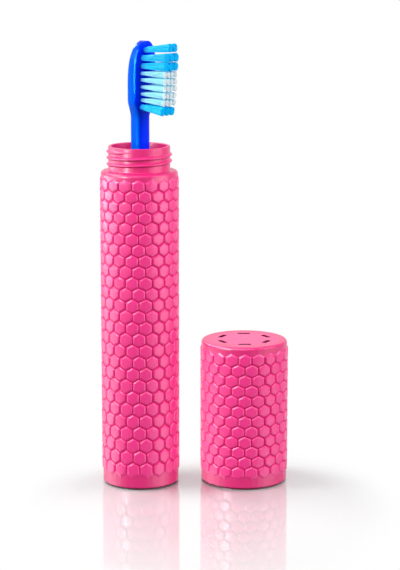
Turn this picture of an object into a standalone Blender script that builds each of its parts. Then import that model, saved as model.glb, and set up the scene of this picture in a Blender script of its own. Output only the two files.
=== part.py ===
"""A screw-top toothbrush case with its cap set down beside it and a toothbrush standing in it.

Metres, +Z up. The origin is on the case's axis, on the surface that it stands on. The cap stands at +X.
"""

import math

import bmesh
import bpy
from mathutils import Matrix, Vector

MM = 0.001

# Case body
BODY_RADIUS = 16.0 * MM  # over the raised pads
SHOULDER_ROUNDING = 1.8 * MM
FOOT_ROUNDING = 0.8 * MM
BODY_WALL = 1.4 * MM  # behind the grooves
FLOOR_THICKNESS = 2.0 * MM
FLOOR_ROUNDING = 1.2 * MM  # inside, where wall and floor meet

# Neck
NECK_RADIUS = 12.5 * MM  # at the root of the thread
NECK_HEIGHT = 9.9 * MM
NECK_WALL = 1.15 * MM
NECK_FILLET = 0.6 * MM
RIM_ROUNDING = 0.3 * MM
THREAD_HEIGHT = 0.6 * MM  # how far the thread stands out of the neck

# Cap
CAP_WALL = 1.25 * MM  # behind the grooves
CAP_TOP_THICKNESS = 1.6 * MM
CAP_TOP_ROUNDING = 1.2 * MM
CAP_OVERLAP = 2.0 * MM  # how far the closed cap's skirt reaches down past the shoulder
CAP_RIM_ROUNDING = 0.4 * MM
SKIRT_CLEARANCE = 0.4 * MM  # closed cap's skirt round the body's pads
COLLAR_WALL = 1.2 * MM
THREAD_CLEARANCE = 0.3 * MM
CAP_STANDS_OFF = 8.65 * MM  # free space between the case and the cap set down beside it
CAP_SET_BACK = 2.2 * MM

# Vent slots in the cap's top
VENT_COUNT = 6
VENT_RING_RADIUS = 10.3 * MM
VENT_LENGTH = 5.1 * MM
VENT_WIDTH = 1.5 * MM

# Honeycomb pads
PAD_PITCH = 5.6 * MM  # round the side, before it is fitted to a whole number of pads
PAD_HEIGHT = 0.4 * MM
GROOVE_WIDTH = 0.64 * MM
CASE_ROW_PITCH = 4.66 * MM  # mean of the case's rows
CASE_ROW_GROWTH = 1.25  # the lowest row's pitch over the highest row's
CAP_ROW_PITCH = 4.26 * MM
CASE_FOOT_BAND = 4.8 * MM
CASE_TOP_BAND = 2.1 * MM
CAP_RIM_BAND = 4.2 * MM
CAP_TOP_BAND = 2.6 * MM

# Toothbrush handle. Its broad face looks along the brush's own +X
BRUSH_LENGTH = 179.5 * MM
BRUSH_STANDS_OUT = 42.2 * MM  # above the open case's mouth
BRUSH_HEADROOM = 3.7 * MM  # over the brush in the closed case
BRUSH_TURN = math.radians(-42)  # the bristles point right and towards the front
BRUSH_SHIFT = 0.45 * MM  # it stands a little to the right of the case's axis
BRUSH_SEAT_GAP = 0.3 * MM
GRIP_WIDTH = 12.4 * MM
GRIP_THICKNESS = 9.0 * MM
GRIP_LENGTH = 84.0 * MM
GRIP_TAPER = 30.0 * MM
BUTT_ROUNDING = 5.5 * MM
NECK_SECTION_WIDTH = 7.4 * MM
NECK_SECTION_THICKNESS = 5.6 * MM
HEAD_THICKNESS = 5.4 * MM
HEAD_TIP_THICKNESS = 2.6 * MM
HEAD_FACE = 3.2 * MM  # the bristled face, in front of the handle's axis
HEAD_SIDE_MARGIN = 2.4 * MM  # outside the outermost tufts
HEAD_TIP_MARGIN = 3.1 * MM  # from the tip to the first row
HEAD_HEEL_MARGIN = 5.2 * MM
HEAD_SHOULDER = 7.5 * MM  # length over which the neck widens into the head
HEAD_END_SHARE = 0.57  # of the head's length, where it narrows to its tip
HANDLE_SIDES = 16
GRIP_SQUARENESS = 2.6  # exponent of the section: 2 is an ellipse
NECK_SQUARENESS = 4.0
HEAD_SQUARENESS = 5.0

# Tufts
LARGE_TUFT_RADIUS = 1.0 * MM  # at the head's face
SMALL_TUFT_RADIUS = 0.65 * MM
TUFT_LENGTH = 12.8 * MM
TUFT_SPREAD = 0.33 * MM  # how much wider a tuft is at its tips
TUFT_ROW_GAP = 0.85 * MM  # between the tips of two rows
TUFT_COLUMN_GAP = 0.1 * MM
TUFT_CLEARANCE = 0.15 * MM
TUFT_HOLE_DEPTH = 2.2 * MM
HOLE_BRIDGE = 0.8 * MM  # least material between two rows of holes
TUFT_SEAT_GAP = 0.3 * MM
TUFT_SINK = 0.1 * MM  # top of the plug under the head's face
STRAND_TAPER = 0.9

# Rows from the tip to the heel: tufts, radius, share of the tufts' length, tilt to the tip, material
TUFT_ROWS = (
    (2, LARGE_TUFT_RADIUS, 14.0 / 12.8, 6, "cyan bristle"),
    (3, LARGE_TUFT_RADIUS, 13.4 / 12.8, 3, "cyan bristle"),
    (3, LARGE_TUFT_RADIUS, 13.1 / 12.8, 1, "cyan bristle"),
    (4, SMALL_TUFT_RADIUS, 12.8 / 12.8, 0, "ice bristle"),
    (4, SMALL_TUFT_RADIUS, 12.7 / 12.8, -1, "ice bristle"),
    (4, SMALL_TUFT_RADIUS, 12.6 / 12.8, -1, "ice bristle"),
    (4, SMALL_TUFT_RADIUS, 12.5 / 12.8, -1.5, "ice bristle"),
    (4, SMALL_TUFT_RADIUS, 12.4 / 12.8, -3, "ice bristle"),
    (3, LARGE_TUFT_RADIUS, 11.9 / 12.8, -6.5, "cyan bristle"),
)

MERGE_DISTANCE = 0.001 * MM
CUT_PAST = 1.0 * MM  # how far a cutter runs past the face that it opens

# Sizes that follow from those above
GROOVE_RADIUS = BODY_RADIUS - PAD_HEIGHT
CAVITY_RADIUS = GROOVE_RADIUS - BODY_WALL
MOUTH_HEIGHT = FLOOR_THICKNESS + BRUSH_SEAT_GAP + BRUSH_LENGTH - BRUSH_STANDS_OUT
SHOULDER_HEIGHT = MOUTH_HEIGHT - NECK_HEIGHT
BORE_RADIUS = NECK_RADIUS - NECK_WALL
SKIRT_BORE = BODY_RADIUS + SKIRT_CLEARANCE
CAP_GROOVE_RADIUS = SKIRT_BORE + CAP_WALL
CAP_CEILING = CAP_OVERLAP + NECK_HEIGHT + BRUSH_STANDS_OUT + BRUSH_HEADROOM
CAP_HEIGHT = CAP_CEILING + CAP_TOP_THICKNESS
CAP_APART = BODY_RADIUS + CAP_STANDS_OFF + CAP_GROOVE_RADIUS + PAD_HEIGHT
COLLAR_BORE = NECK_RADIUS + THREAD_HEIGHT + THREAD_CLEARANCE
COLLAR_RADIUS = COLLAR_BORE + COLLAR_WALL


def clear_scene():
    for old in list(bpy.data.objects):
        bpy.data.objects.remove(old)


def make_material(name, colour, roughness):
    material = bpy.data.materials.new(name)
    material.use_nodes = True
    shader = material.node_tree.nodes["Principled BSDF"]
    shader.inputs["Base Color"].default_value = (*colour, 1)
    shader.inputs["Roughness"].default_value = roughness
    shader.inputs["Metallic"].default_value = 0.0
    material.diffuse_color = (*colour, 1)
    return material


def make_object(name, bm, collection, material=None):
    """Turns a bmesh into a smooth-shaded object with its normals facing out."""
    bmesh.ops.recalc_face_normals(bm, faces=bm.faces)
    mesh = bpy.data.meshes.new(name)
    bm.to_mesh(mesh)
    bm.free()
    if material:
        mesh.materials.append(material)
    mesh.shade_smooth()
    mesh.set_sharp_from_angle(angle=math.radians(25))
    for polygon in mesh.polygons:
        if len(polygon.vertices) > 8:
            polygon.use_smooth = False
    made = bpy.data.objects.new(name, mesh)
    collection.objects.link(made)
    return made


def hide_cutter(cutter):
    cutter.hide_render = True
    cutter.display_type = "WIRE"


def cut(target, cutter):
    modifier = target.modifiers.new("cut " + cutter.name, "BOOLEAN")
    modifier.operation = "DIFFERENCE"
    modifier.solver = "EXACT"
    modifier.object = cutter


def smooth_step(value, start, end):
    share = min(max((value - start) / (end - start), 0), 1)
    return share * share * (3 - 2 * share)


# Honeycomb walls


def honeycomb_wall(bm, groove_radius, bottom, top, row_pitch, growth):
    """A round wall of raised hexagonal pads, from the lowest pad's point to the highest.

    The pads are made flat and touching, inset with a raised middle, then rolled up. Their pitch grows
    evenly from the top row to the bottom row. Returns the lower and the upper border, as edges.
    """
    pad_radius = groove_radius + PAD_HEIGHT
    columns = round(math.tau * pad_radius / PAD_PITCH)
    rows = max(round((top - bottom) / row_pitch - 1 / 3), 1)
    pitch = math.tau * pad_radius / columns
    side = pitch / math.sqrt(3)
    sheet_height = 1.5 * side * (rows - 1) + 2 * side

    for row in range(rows):
        shift = 0.5 * ((rows - 1 - row) % 2)
        for column in range(columns):
            centre = Vector(((column + shift) * pitch, side * (1 + 1.5 * row), 0))
            place = Matrix.Translation(centre)
            bmesh.ops.create_circle(bm, cap_ends=True, radius=side, segments=6, matrix=place)
    bmesh.ops.remove_doubles(bm, verts=bm.verts, dist=MERGE_DISTANCE)

    pads = list(bm.faces)
    bmesh.ops.inset_individual(
        bm, faces=pads, thickness=GROOVE_WIDTH / 2, depth=PAD_HEIGHT, use_even_offset=True
    )
    for pad in pads:
        highest = max(pad.verts, key=lambda vert: vert.co.y)
        lowest = min(pad.verts, key=lambda vert: vert.co.y)
        bmesh.utils.face_split(pad, highest, lowest)

    for vert in bm.verts:
        angle = math.tau * vert.co.x / (columns * pitch) - math.pi / 2
        share = vert.co.y / sheet_height
        rise = share * (2 * growth - (growth - 1) * share) / (growth + 1)
        radius = groove_radius + vert.co.z
        height = bottom + (top - bottom) * rise
        vert.co = (radius * math.cos(angle), radius * math.sin(angle), height)
    bmesh.ops.remove_doubles(bm, verts=bm.verts, dist=MERGE_DISTANCE)

    middle = (bottom + top) / 2
    border = [edge for edge in bm.edges if edge.is_boundary]
    lower = [edge for edge in border if edge.verts[0].co.z < middle]
    upper = [edge for edge in border if edge.verts[0].co.z > middle]
    return lower, upper


def turn_on(bm, edges, profile):
    """Carries a round border on through a profile of (radius, height) points. Returns its last edges."""
    for radius, height in profile:
        made = bmesh.ops.extrude_edge_only(bm, edges=edges)["geom"]
        for vert in (item for item in made if isinstance(item, bmesh.types.BMVert)):
            outward = vert.co.xy.normalized() * radius
            vert.co = (outward.x, outward.y, height)
        edges = [item for item in made if isinstance(item, bmesh.types.BMEdge) and item.is_boundary]
    return edges


def corner(radius, height, rounding, start, end, steps=3):
    """Points of a quarter circle round (radius, height), between two angles in degrees."""
    angles = [math.radians(start + (end - start) * step / steps) for step in range(steps + 1)]
    return [(radius + rounding * math.cos(a), height + rounding * math.sin(a)) for a in angles]


def case_body(collection, material):
    bm = bmesh.new()
    lower, upper = honeycomb_wall(
        bm,
        GROOVE_RADIUS,
        CASE_FOOT_BAND,
        SHOULDER_HEIGHT - CASE_TOP_BAND,
        CASE_ROW_PITCH,
        CASE_ROW_GROWTH,
    )
    foot = corner(GROOVE_RADIUS - FOOT_ROUNDING, FOOT_ROUNDING, FOOT_ROUNDING, 0, -90)
    bmesh.ops.edgeloop_fill(bm, edges=turn_on(bm, lower, foot))

    shoulder_turn = GROOVE_RADIUS - SHOULDER_ROUNDING
    shoulder = corner(shoulder_turn, SHOULDER_HEIGHT - SHOULDER_ROUNDING, SHOULDER_ROUNDING, 0, 90)
    root = corner(
        NECK_RADIUS + NECK_FILLET, SHOULDER_HEIGHT + NECK_FILLET, NECK_FILLET, -90, -180, steps=2
    )
    rim_top = MOUTH_HEIGHT - RIM_ROUNDING
    outer_rim = corner(NECK_RADIUS - RIM_ROUNDING, rim_top, RIM_ROUNDING, 0, 90, steps=1)
    inner_rim = corner(BORE_RADIUS + RIM_ROUNDING, rim_top, RIM_ROUNDING, 90, 180, steps=1)
    throat = [
        (BORE_RADIUS, SHOULDER_HEIGHT),
        (CAVITY_RADIUS, SHOULDER_HEIGHT - SHOULDER_ROUNDING - BODY_WALL),
    ]
    floor_turn = CAVITY_RADIUS - FLOOR_ROUNDING
    floor = corner(floor_turn, FLOOR_THICKNESS + FLOOR_ROUNDING, FLOOR_ROUNDING, 0, -90, steps=2)
    profile = shoulder + root + outer_rim + inner_rim + throat + floor
    bmesh.ops.edgeloop_fill(bm, edges=turn_on(bm, upper, profile))
    return make_object("case_body", bm, collection, material)


def screw_cap(collection, cutters, material):
    bm = bmesh.new()
    lower, upper = honeycomb_wall(
        bm, CAP_GROOVE_RADIUS, CAP_RIM_BAND, CAP_HEIGHT - CAP_TOP_BAND, CAP_ROW_PITCH, growth=1
    )
    top_turn = CAP_GROOVE_RADIUS - CAP_TOP_ROUNDING
    top = corner(top_turn, CAP_HEIGHT - CAP_TOP_ROUNDING, CAP_TOP_ROUNDING, 0, 90)
    bmesh.ops.edgeloop_fill(bm, edges=turn_on(bm, upper, top))

    rim = corner(
        CAP_GROOVE_RADIUS - CAP_RIM_ROUNDING, CAP_RIM_ROUNDING, CAP_RIM_ROUNDING, 0, -90, steps=2
    )
    skirt = [(SKIRT_BORE, 0), (SKIRT_BORE, CAP_CEILING)]
    collar = [
        (COLLAR_RADIUS, CAP_CEILING),
        (COLLAR_RADIUS, CAP_OVERLAP),
        (COLLAR_BORE, CAP_OVERLAP),
        (COLLAR_BORE, CAP_CEILING),
    ]
    bmesh.ops.edgeloop_fill(bm, edges=turn_on(bm, lower, rim + skirt + collar))
    cap = make_object("screw_cap", bm, collection, material)
    cap.location = (CAP_APART, CAP_SET_BACK, 0)

    vents = vent_cutter(cutters)
    vents.parent = cap
    cut(cap, vents)
    return cap


def vent_cutter(cutters):
    """One long box for each vent, square to the radius that it lies on."""
    bm = bmesh.new()
    size = Matrix.Diagonal((VENT_WIDTH, VENT_LENGTH, CAP_TOP_THICKNESS + 2 * CUT_PAST, 1))
    out = Matrix.Translation((VENT_RING_RADIUS, 0, CAP_HEIGHT - CAP_TOP_THICKNESS / 2))
    for number in range(VENT_COUNT):
        turn = Matrix.Rotation(math.pi / 2 + math.tau * number / VENT_COUNT, 4, "Z")
        bmesh.ops.create_cube(bm, size=1, matrix=turn @ out @ size)
    vents = make_object("vent_slots", bm, cutters)
    hide_cutter(vents)
    return vents


# Toothbrush


def column_pitch(radius):
    return 2 * (radius + TUFT_SPREAD) + TUFT_COLUMN_GAP


def row_pitch(upper, lower):
    """Root distance of two rows: their tips keep the row gap, and their holes keep their bridge."""
    _, upper_radius, upper_share, upper_tilt, _ = upper
    _, lower_radius, lower_share, lower_tilt, _ = lower
    radii = upper_radius + lower_radius
    length = TUFT_LENGTH * min(upper_share, lower_share)
    parting = length * (math.sin(math.radians(upper_tilt)) - math.sin(math.radians(lower_tilt)))
    at_tips = radii + 2 * TUFT_SPREAD + TUFT_ROW_GAP - parting
    at_roots = radii + 2 * TUFT_CLEARANCE + HOLE_BRIDGE
    return max(at_tips, at_roots)


def tuft_places():
    """(row, column, drop from the head's tip, place across) of each tuft."""
    places = []
    drop = HEAD_TIP_MARGIN
    for row, (count, radius, _, _, _) in enumerate(TUFT_ROWS):
        if row > 0:
            drop += row_pitch(TUFT_ROWS[row - 1], TUFT_ROWS[row])
        for column in range(count):
            across = (column - (count - 1) / 2) * column_pitch(radius)
            places.append((row, column, drop, across))
    return places


def handle_section(height, head_width, head_length, end_length):
    """Width, thickness, forward offset and squareness of the handle at a height above its butt."""
    to_neck = smooth_step(height, GRIP_LENGTH, GRIP_LENGTH + GRIP_TAPER)
    head_start = BRUSH_LENGTH - head_length
    to_head = smooth_step(height, head_start, head_start + HEAD_SHOULDER)

    width = GRIP_WIDTH + (NECK_SECTION_WIDTH - GRIP_WIDTH) * to_neck
    thickness = GRIP_THICKNESS + (NECK_SECTION_THICKNESS - GRIP_THICKNESS) * to_neck
    if height < BUTT_ROUNDING:
        part = math.sqrt(1 - ((BUTT_ROUNDING - height) / (BUTT_ROUNDING * 1.02)) ** 2)
        width *= part
        thickness *= part
    width += (head_width - width) * to_head
    thickness += (HEAD_THICKNESS - thickness) * to_head
    forward = (HEAD_FACE - HEAD_THICKNESS / 2) * to_head

    past_widest = height - (BRUSH_LENGTH - end_length)
    if past_widest > 0:
        part = past_widest / end_length
        width = head_width * math.sqrt(1 - (part / 1.003) ** 4)
        thickness = HEAD_THICKNESS + (HEAD_TIP_THICKNESS - HEAD_THICKNESS) * part**2
        forward = HEAD_FACE - thickness / 2

    square = GRIP_SQUARENESS + (NECK_SQUARENESS - GRIP_SQUARENESS) * to_neck
    square += (HEAD_SQUARENESS - square) * to_head
    return width, thickness, forward, square


def brush_handle(collection, cutters, material):
    """A loft up the handle. Each ring is a squared ellipse, broadest across the brush's own Y."""
    places = tuft_places()
    widest = max(abs(across) + TUFT_ROWS[row][1] for row, _, _, across in places)
    head_width = 2 * (widest + HEAD_SIDE_MARGIN)
    lowest_drop = places[-1][2]
    head_length = lowest_drop + HEAD_HEEL_MARGIN
    end_length = HEAD_END_SHARE * head_length

    head_start = BRUSH_LENGTH - head_length
    heights = [BUTT_ROUNDING * share for share in (0, 0.12, 0.35, 0.65, 1)]
    heights += [GRIP_LENGTH * share for share in (0.4, 0.75, 1)]
    heights += [GRIP_LENGTH + GRIP_TAPER * share for share in (0.2, 0.4, 0.6, 0.8, 1)]
    heights += [head_start + HEAD_SHOULDER * share for share in (0, 0.2, 0.4, 0.6, 0.8, 1)]
    turns = [math.radians(90 - 9 * step) for step in range(10)]
    heights += [BRUSH_LENGTH - end_length * (1 - math.cos(turn)) for turn in turns]
    heights += [BRUSH_LENGTH]

    bm = bmesh.new()
    last_ring = None
    for height in heights:
        width, thickness, forward, square = handle_section(
            height, head_width, head_length, end_length
        )
        ring = []
        for side in range(HANDLE_SIDES):
            angle = math.tau * (side + 0.5) / HANDLE_SIDES
            c, s = math.cos(angle), math.sin(angle)
            x = forward + math.copysign(abs(c) ** (2 / square), c) * thickness / 2
            y = math.copysign(abs(s) ** (2 / square), s) * width / 2
            ring.append(bm.verts.new((x, y, height)))
        if last_ring is None:
            bm.faces.new(ring)
        else:
            for side in range(HANDLE_SIDES):
                other = (side + 1) % HANDLE_SIDES
                bm.faces.new((last_ring[side], last_ring[other], ring[other], ring[side]))
        last_ring = ring
    bm.faces.new(last_ring)
    handle = make_object("brush_handle", bm, collection, material)
    handle.location = (BRUSH_SHIFT, 0, FLOOR_THICKNESS + BRUSH_SEAT_GAP)
    handle.rotation_euler.z = BRUSH_TURN

    holes = hole_cutter(cutters, places)
    holes.parent = handle
    cut(handle, holes)
    return handle


def tuft_axis(drop, across, tilt):
    """Where a tuft leaves the head's face, turned so that its own Z points out along the bristles."""
    out = Matrix.Rotation(math.pi / 2 - math.radians(tilt), 4, "Y")
    return Matrix.Translation((HEAD_FACE, across, BRUSH_LENGTH - drop)) @ out


def hole_cutter(cutters, places):
    """A blind eight-sided hole for each tuft, with flat sides clear of its plug all round."""
    bm = bmesh.new()
    for row, _, drop, across in places:
        _, radius, _, tilt, _ = TUFT_ROWS[row]
        hole_radius = (radius + TUFT_CLEARANCE) / math.cos(math.pi / 8)
        depth = TUFT_HOLE_DEPTH + CUT_PAST
        middle = Matrix.Translation((0, 0, CUT_PAST - depth / 2))
        bmesh.ops.create_cone(
            bm,
            cap_ends=True,
            segments=8,
            radius1=hole_radius,
            radius2=hole_radius,
            depth=depth,
            matrix=tuft_axis(drop, across, tilt) @ middle @ Matrix.Rotation(math.pi / 8, 4, "Z"),
        )
    holes = make_object("tuft_holes", bm, cutters)
    hide_cutter(holes)
    return holes


def tuft_bmesh(radius, length):
    """A six-sided plug with twelve three-sided strands, which spread a little towards their tips."""
    bm = bmesh.new()
    depth = TUFT_HOLE_DEPTH - TUFT_SEAT_GAP - TUFT_SINK
    centre = Matrix.Translation((0, 0, -TUFT_SINK - depth / 2))
    bmesh.ops.create_cone(
        bm,
        cap_ends=True,
        cap_tris=True,
        segments=6,
        radius1=radius,
        radius2=radius,
        depth=depth,
        matrix=centre,
    )
    top = [face for face in bm.faces if face.normal.z > 0.9]
    edges = {edge for face in top for edge in face.edges}
    bmesh.ops.subdivide_edges(bm, edges=list(edges), cuts=1, use_grid_fill=True)

    roots = []
    for face in bm.faces:
        if face.normal.z < 0.9 or len(face.verts) != 3:
            continue
        spoke = face.verts[0].co - face.calc_center_median()
        if math.sin(3 * math.atan2(spoke.y, spoke.x)) > 0:
            roots.append(face)
    strands = bmesh.ops.extrude_discrete_faces(bm, faces=roots)["faces"]
    middles = [strand.calc_center_median().xy for strand in strands]
    strand_radius = (strands[0].verts[0].co.xy - middles[0]).length * STRAND_TAPER
    spread = (radius + TUFT_SPREAD - strand_radius) / max(middle.length for middle in middles)
    for strand, middle in zip(strands, middles):
        for vert in strand.verts:
            place = middle * spread + (vert.co.xy - middle) * STRAND_TAPER
            vert.co = (place.x, place.y, length)
    return bm


def add_tufts(handle, collection, materials):
    for row, column, drop, across in tuft_places():
        _, radius, share, tilt, material = TUFT_ROWS[row]
        name = f"tuft_row{row + 1}_col{column + 1}"
        bristles = tuft_bmesh(radius, TUFT_LENGTH * share)
        tuft = make_object(name, bristles, collection, materials[material])
        tuft.parent = handle
        tuft.matrix_local = tuft_axis(drop, across, tilt)


def main():
    clear_scene()
    scene = bpy.context.scene
    case_collection = bpy.data.collections.new("toothbrush_case")
    cutter_collection = bpy.data.collections.new("cutters")
    scene.collection.children.link(case_collection)
    scene.collection.children.link(cutter_collection)

    pink = make_material("pink plastic", (0.80, 0.05, 0.22), 0.42)
    blue = make_material("blue plastic", (0.01, 0.09, 0.85), 0.15)
    bristles = {
        "cyan bristle": make_material("cyan bristle", (0.03, 0.66, 0.96), 0.5),
        "ice bristle": make_material("ice bristle", (0.42, 0.86, 0.97), 0.5),
    }

    case_body(case_collection, pink)
    screw_cap(case_collection, cutter_collection, pink)
    handle = brush_handle(case_collection, cutter_collection, blue)
    add_tufts(handle, case_collection, bristles)


main()
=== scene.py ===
import math
import random

import bmesh
import bpy
from mathutils import Matrix, Vector


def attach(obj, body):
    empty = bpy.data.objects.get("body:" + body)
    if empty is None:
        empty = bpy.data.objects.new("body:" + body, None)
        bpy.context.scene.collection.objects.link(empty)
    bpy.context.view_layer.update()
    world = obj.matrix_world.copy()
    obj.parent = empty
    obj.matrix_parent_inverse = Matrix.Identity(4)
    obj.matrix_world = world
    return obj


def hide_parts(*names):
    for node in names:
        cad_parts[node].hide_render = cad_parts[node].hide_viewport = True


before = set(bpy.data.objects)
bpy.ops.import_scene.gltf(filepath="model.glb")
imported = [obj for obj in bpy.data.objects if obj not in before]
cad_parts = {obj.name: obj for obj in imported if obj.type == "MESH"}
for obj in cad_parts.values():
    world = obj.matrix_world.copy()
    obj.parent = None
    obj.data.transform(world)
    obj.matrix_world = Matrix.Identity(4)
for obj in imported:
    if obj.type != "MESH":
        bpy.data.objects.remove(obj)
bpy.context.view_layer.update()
print("frame loaded:", len(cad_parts), "nodes")

mm = 0.001  # the pieces are shaped in millimetres and scaled down when they are finished


# Camera at the photograph's angle

cameraView = {
    "place": (0.02451, -0.81909, 0.24202),
    "lookDown": 11.03,
    "lens": 129.13,
    "sensor": 36,
    "clipStart": 0.01,
}


def addCamera():
    lens = bpy.data.cameras.new("photoCamera")
    lens.sensor_fit = "AUTO"
    lens.sensor_width = cameraView["sensor"]
    lens.lens = cameraView["lens"]
    lens.clip_start = cameraView["clipStart"]
    camera = bpy.data.objects.new("photoCamera", lens)
    camera.location = cameraView["place"]
    camera.rotation_euler.x = math.radians(90 - cameraView["lookDown"])
    bpy.context.scene.collection.objects.link(camera)
    bpy.context.scene.camera = camera


addCamera()
print("camera placed")


# Node helpers


def feed(tree, sockets, inputs):
    # links what is a socket and sets what is a value
    for key, value in inputs.items():
        if isinstance(value, bpy.types.NodeSocket):
            tree.links.new(value, sockets[key])
        else:
            sockets[key].default_value = value


def addNode(tree, kind, inputs=None, **settings):
    node = tree.nodes.new(kind)
    for key, value in settings.items():
        setattr(node, key, value)
    feed(tree, node.inputs, inputs or {})
    return node


def addGroup(tree, group, inputs):
    return addNode(tree, "ShaderNodeGroup", inputs, node_tree=group).outputs


def startGroup(name, inputs, outputs):
    tree = bpy.data.node_groups.new(name, "ShaderNodeTree")
    for label, kind, value in inputs:
        socket = tree.interface.new_socket(label, in_out="INPUT", socket_type="NodeSocket" + kind)
        if value is not None:
            socket.default_value = value
    for label, kind in outputs:
        tree.interface.new_socket(label, in_out="OUTPUT", socket_type="NodeSocket" + kind)
    return tree, tree.nodes.new("NodeGroupInput").outputs, tree.nodes.new("NodeGroupOutput")


def startMaterial(name):
    material = bpy.data.materials.new(name)
    material.use_nodes = True
    return material, material.node_tree


def blendColour(tree, factor, low, high):
    mix = addNode(tree, "ShaderNodeMix", {0: factor, 6: low, 7: high}, data_type="RGBA")
    return mix.outputs[2]


def mapRange(tree, value, start=(0.0, 1.0), end=(0.0, 1.0), **settings):
    inputs = {0: value, 1: start[0], 2: start[1], 3: end[0], 4: end[1]}
    return addNode(tree, "ShaderNodeMapRange", inputs, **settings).outputs[0]


def attribute(tree, name):
    return addNode(tree, "ShaderNodeAttribute", attribute_name=name).outputs["Fac"]


# Shared effects

grainLook = {
    # detail and roughness of the noise
    "grain": (3.0, 0.6),
    "cloud": (2.0, 0.5),
    "cloudStretch": (1.0, 1.0, 0.35),  # the flow is drawn out along the piece's height
}


def makeMouldGrain():
    # the fine sand of a mould's surface, and the broad clouds where the plastic flowed
    tree, given, out = startGroup(
        "mouldGrain",
        [
            ("Coordinates", "Vector", None),
            ("Grain Size", "Float", 0.0004),
            ("Cloud Size", "Float", 0.02),
        ],
        [("Grain", "Float"), ("Cloud", "Float")],
    )

    def noise(place, size, look):
        detail, roughness = look
        scale = addNode(tree, "ShaderNodeMath", {0: 1.0, 1: size}, operation="DIVIDE").outputs[0]
        inputs = {"Vector": place, "Scale": scale, "Detail": detail, "Roughness": roughness}
        return addNode(tree, "ShaderNodeTexNoise", inputs).outputs["Fac"]

    drawn = addNode(
        tree,
        "ShaderNodeVectorMath",
        {0: given["Coordinates"], 1: grainLook["cloudStretch"]},
        operation="MULTIPLY",
    )
    grain = noise(given["Coordinates"], given["Grain Size"], grainLook["grain"])
    cloud = noise(drawn.outputs[0], given["Cloud Size"], grainLook["cloud"])
    feed(tree, out.inputs, {"Grain": grain, "Cloud": cloud})
    return tree


strandLook = {
    # the root's colour is painted shade where the bristles crowd into the head
    "rise": (0.03, 0.36),  # where along a bristle its root's colour turns into its body's
    "cut": (0.965, 0.985),  # and its body's into its cut tip's
    "shade": (0.86, 1.06),  # of the darkest and of the lightest bristle
}


def makeStrandTone():
    # a bristle's colour from its root to its cut tip, darkened at the root with painted shade, and
    # a little different on each bristle
    tree, given, out = startGroup(
        "strandTone",
        [
            ("Along", "Float", 0.5),
            ("Strand", "Float", 0.5),
            ("Root", "Color", (0.0, 0.2, 0.4, 1)),
            ("Body", "Color", (0.0, 0.6, 0.9, 1)),
            ("Tip", "Color", (0.0, 0.4, 0.8, 1)),
        ],
        [("Colour", "Color")],
    )
    rising = mapRange(tree, given["Along"], strandLook["rise"])
    ending = mapRange(tree, given["Along"], strandLook["cut"])
    lower = blendColour(tree, rising, given["Root"], given["Body"])
    whole = blendColour(tree, ending, lower, given["Tip"])
    shade = mapRange(tree, given["Strand"], end=strandLook["shade"])
    toned = addNode(tree, "ShaderNodeVectorMath", {0: whole, "Scale": shade}, operation="SCALE")
    feed(tree, out.inputs, {"Colour": toned.outputs[0]})
    return tree


mouldGrain = makeMouldGrain()
strandTone = makeStrandTone()
print("node groups ready")


# Finishes


def mouldOn(tree, finish):
    # the mould's grain and clouds, and the bump that the grain makes
    here = addNode(tree, "ShaderNodeTexCoord").outputs["Object"]
    sizes = {"Grain Size": finish["grainSize"], "Cloud Size": finish["cloudSize"]}
    mould = addGroup(tree, mouldGrain, {"Coordinates": here, **sizes})
    relief = {"Strength": finish["grainStrength"], "Distance": finish["grainDepth"]}
    bump = addNode(tree, "ShaderNodeBump", {**relief, "Height": mould["Grain"]})
    return mould, bump.outputs[0]


def withBounce(tree, colour, finish):
    # the colour that shows, and a weaker one for the light that it throws onto its surroundings
    path = addNode(tree, "ShaderNodeLightPath")
    return blendColour(tree, path.outputs["Is Diffuse Ray"], colour, finish["bounce"])


pinkFinish = {
    "pad": (0.94, 0.022, 0.260, 1),
    "padShade": (0.91, 0.017, 0.235, 1),
    # painted shade: the darker colour laid into the grooves between pads
    "groove": (0.86, 0.001, 0.165, 1),
    "grooveEdge": (0.15, 0.7),  # between these depths its colour comes in
    "plain": (0.76, 0.006, 0.172, 1),  # bands, neck and inside, where the mould is smooth
    # painted shade: the dark colour on the vent walls, in the recesses under foot ring and cap rim,
    # and a share of it in the bore
    "paintedShade": (0.20, 0.001, 0.035, 1),  # walls of the vents in the cap's top
    "bounce": (0.36, 0.08, 0.16, 1),
    "ior": 1.49,
    "gloss": 0.1,
    "roughness": (0.40, 0.50),
    "roughGrain": (0.3, 0.7),  # grain that is smoothest and grain that is roughest
    "grooveRoughness": 0.85,
    "skin": 0.65,  # strength and roughness of the smooth skin over everything but the grooves
    "skinRoughness": 0.26,
    "skinIor": 1.5,
    "grainSize": 0.00035,
    "grainStrength": 0.6,
    "grainDepth": 0.000012,
    "cloudSize": 0.018,
}


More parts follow.
